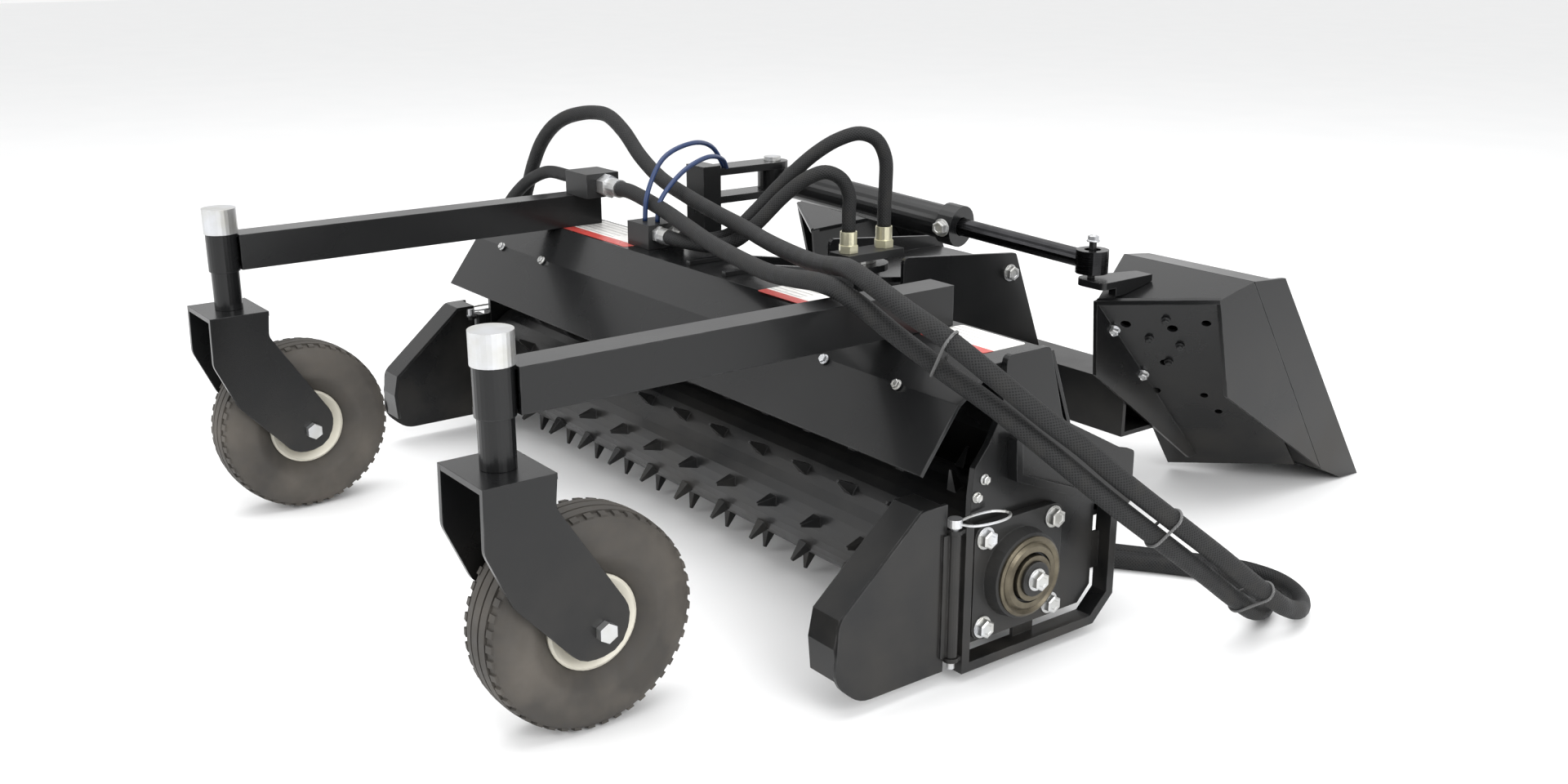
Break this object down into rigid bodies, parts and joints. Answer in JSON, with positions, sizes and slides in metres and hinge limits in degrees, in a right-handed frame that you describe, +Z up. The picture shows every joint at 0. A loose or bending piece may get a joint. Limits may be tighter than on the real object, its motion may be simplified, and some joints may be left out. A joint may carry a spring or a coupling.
{
  "type": "power rake",
  "caption": "Hydraulic power rake for a compact loader: toothed roller under a folded hood, caster gauge wheels on long arms, swing-angled quick-attach mount, sleeved hoses.",
  "frame": {"origin": "centre of the bounding box's base, on the floor, without the two main hoses", "axes": "+Z up; +X along the roller towards the bearing end, -X towards the drive motor; +Y towards the loader mount, -Y towards the gauge wheels"},
  "size_m": [1.7554, 1.8018, 0.6616],
  "materials": {
    "paint": "gloss",
    "zinc": "satin",
    "rim_paint": "satin",
    "tyre": "matte",
    "sleeve": "matte",
    "steel": "satin",
    "iron": "satin"
  },
  "bodies": {
    "rake": {"anchor_pin": "zinc", "bearing_guard_far": "paint", "bearing_guard_near": "paint", "bearing_housing": "iron", "bulkhead": "iron", "bulkhead_fitting_1": "zinc", "bulkhead_fitting_2": "zinc", "cylinder_anchor": "paint", "deck_block": "iron", "deck_fitting_1": "zinc", "deck_fitting_2": "zinc", "drive_motor": "iron", "end_plate_far": "paint", "end_plate_near": "paint", "guard_bracket_far": "paint", "guard_bracket_near": "paint", "hood": "paint", "lock_pin_far": "zinc", "lock_pin_near": "zinc", "main_coupler_1": "zinc", "main_coupler_2": "zinc", "main_hose_1": "sleeve", "main_hose_2": "sleeve", "manifold": "iron", "motor_fitting_1": "zinc", "motor_fitting_2": "zinc", "motor_hose": "sleeve", "outlet_fitting": "zinc", "pivot_bracket": "paint", "rear_beam": "paint", "swing_hose_1": "sleeve", "swing_hose_2": "sleeve", "swing_pin": "zinc", "wheel_arm_far": "paint", "wheel_arm_near": "paint"},
    "roller": {"roller": "paint", "bearing_collar": "steel"},
    "caster_near": {"caster_fork_near": "paint", "height_spacer_near": "paint", "post_cap_near": "zinc", "axle_bolt_near": "zinc"},
    "caster_far": {"caster_fork_far": "paint", "height_spacer_far": "paint", "post_cap_far": "zinc", "axle_bolt_far": "zinc"},
    "wheel_near": {"tyre_near": "tyre", "rim_near": "rim_paint"},
    "wheel_far": {"tyre_far": "tyre", "rim_far": "rim_paint"},
    "wing_near": {"wing_near": "paint"},
    "wing_far": {"wing_far": "paint"},
    "mount": {"swing_frame": "paint", "cross_beam": "paint", "mount_box_near": "paint", "mount_box_far": "paint", "attach_plate_near": "paint", "attach_plate_far": "paint", "rod_lug": "paint"},
    "cylinder_barrel": {"cylinder_barrel": "paint"},
    "cylinder_rod": {"cylinder_rod": "steel"}
  },
  "joints": [
    {"name": "roller_spin", "type": "hinge", "parent": "rake", "child": "roller", "pos_m": [0.034, -0.1791, 0.14], "axis": [1, 0, 0], "continuous": true},
    {"name": "caster_near_swivel", "type": "hinge", "parent": "rake", "child": "caster_near", "pos_m": [0.532, -0.8471, 0.4], "axis": [0, 0, 1], "continuous": true},
    {"name": "caster_far_swivel", "type": "hinge", "parent": "rake", "child": "caster_far", "pos_m": [-0.464, -0.8471, 0.4], "axis": [0, 0, 1], "continuous": true},
    {"name": "wheel_near_spin", "type": "hinge", "parent": "caster_near", "child": "wheel_near", "pos_m": [0.532, -0.7441, 0.15], "axis": [1, 0, 0], "continuous": true},
    {"name": "wheel_far_spin", "type": "hinge", "parent": "caster_far", "child": "wheel_far", "pos_m": [-0.464, -0.7441, 0.15], "axis": [1, 0, 0], "continuous": true},
    {"name": "wing_near_hinge", "type": "hinge", "parent": "rake", "child": "wing_near", "pos_m": [0.757, -0.2981, 0.134], "axis": [0, 0, 1], "range_deg": [0, 80]},
    {"name": "wing_far_hinge", "type": "hinge", "parent": "rake", "child": "wing_far", "pos_m": [-0.689, -0.2981, 0.134], "axis": [0, 0, -1], "range_deg": [0, 80]},
    {"name": "mount_swing", "type": "hinge", "parent": "rake", "child": "mount", "pos_m": [0.034, 0.1329, 0.3], "axis": [0, 0, 1], "range_deg": [-15, 15]},
    {"name": "cylinder_pivot", "type": "hinge", "parent": "rake", "child": "cylinder_barrel", "pos_m": [-0.326, 0.2079, 0.514], "axis": [0, 0, 1], "range_deg": [-9, 9]},
    {"name": "cylinder_stroke", "type": "slide", "parent": "cylinder_barrel", "child": "cylinder_rod", "axis": [0.9792, 0.1838, -0.0858], "range_m": [-0.04, 0.04]}
  ],
  "couplings": [
    {"joint": "cylinder_pivot", "follows": "mount_swing", "ratio": 0.5427},
    {"joint": "cylinder_stroke", "follows": "mount_swing", "m_per_rad": -0.1401}
  ]
}
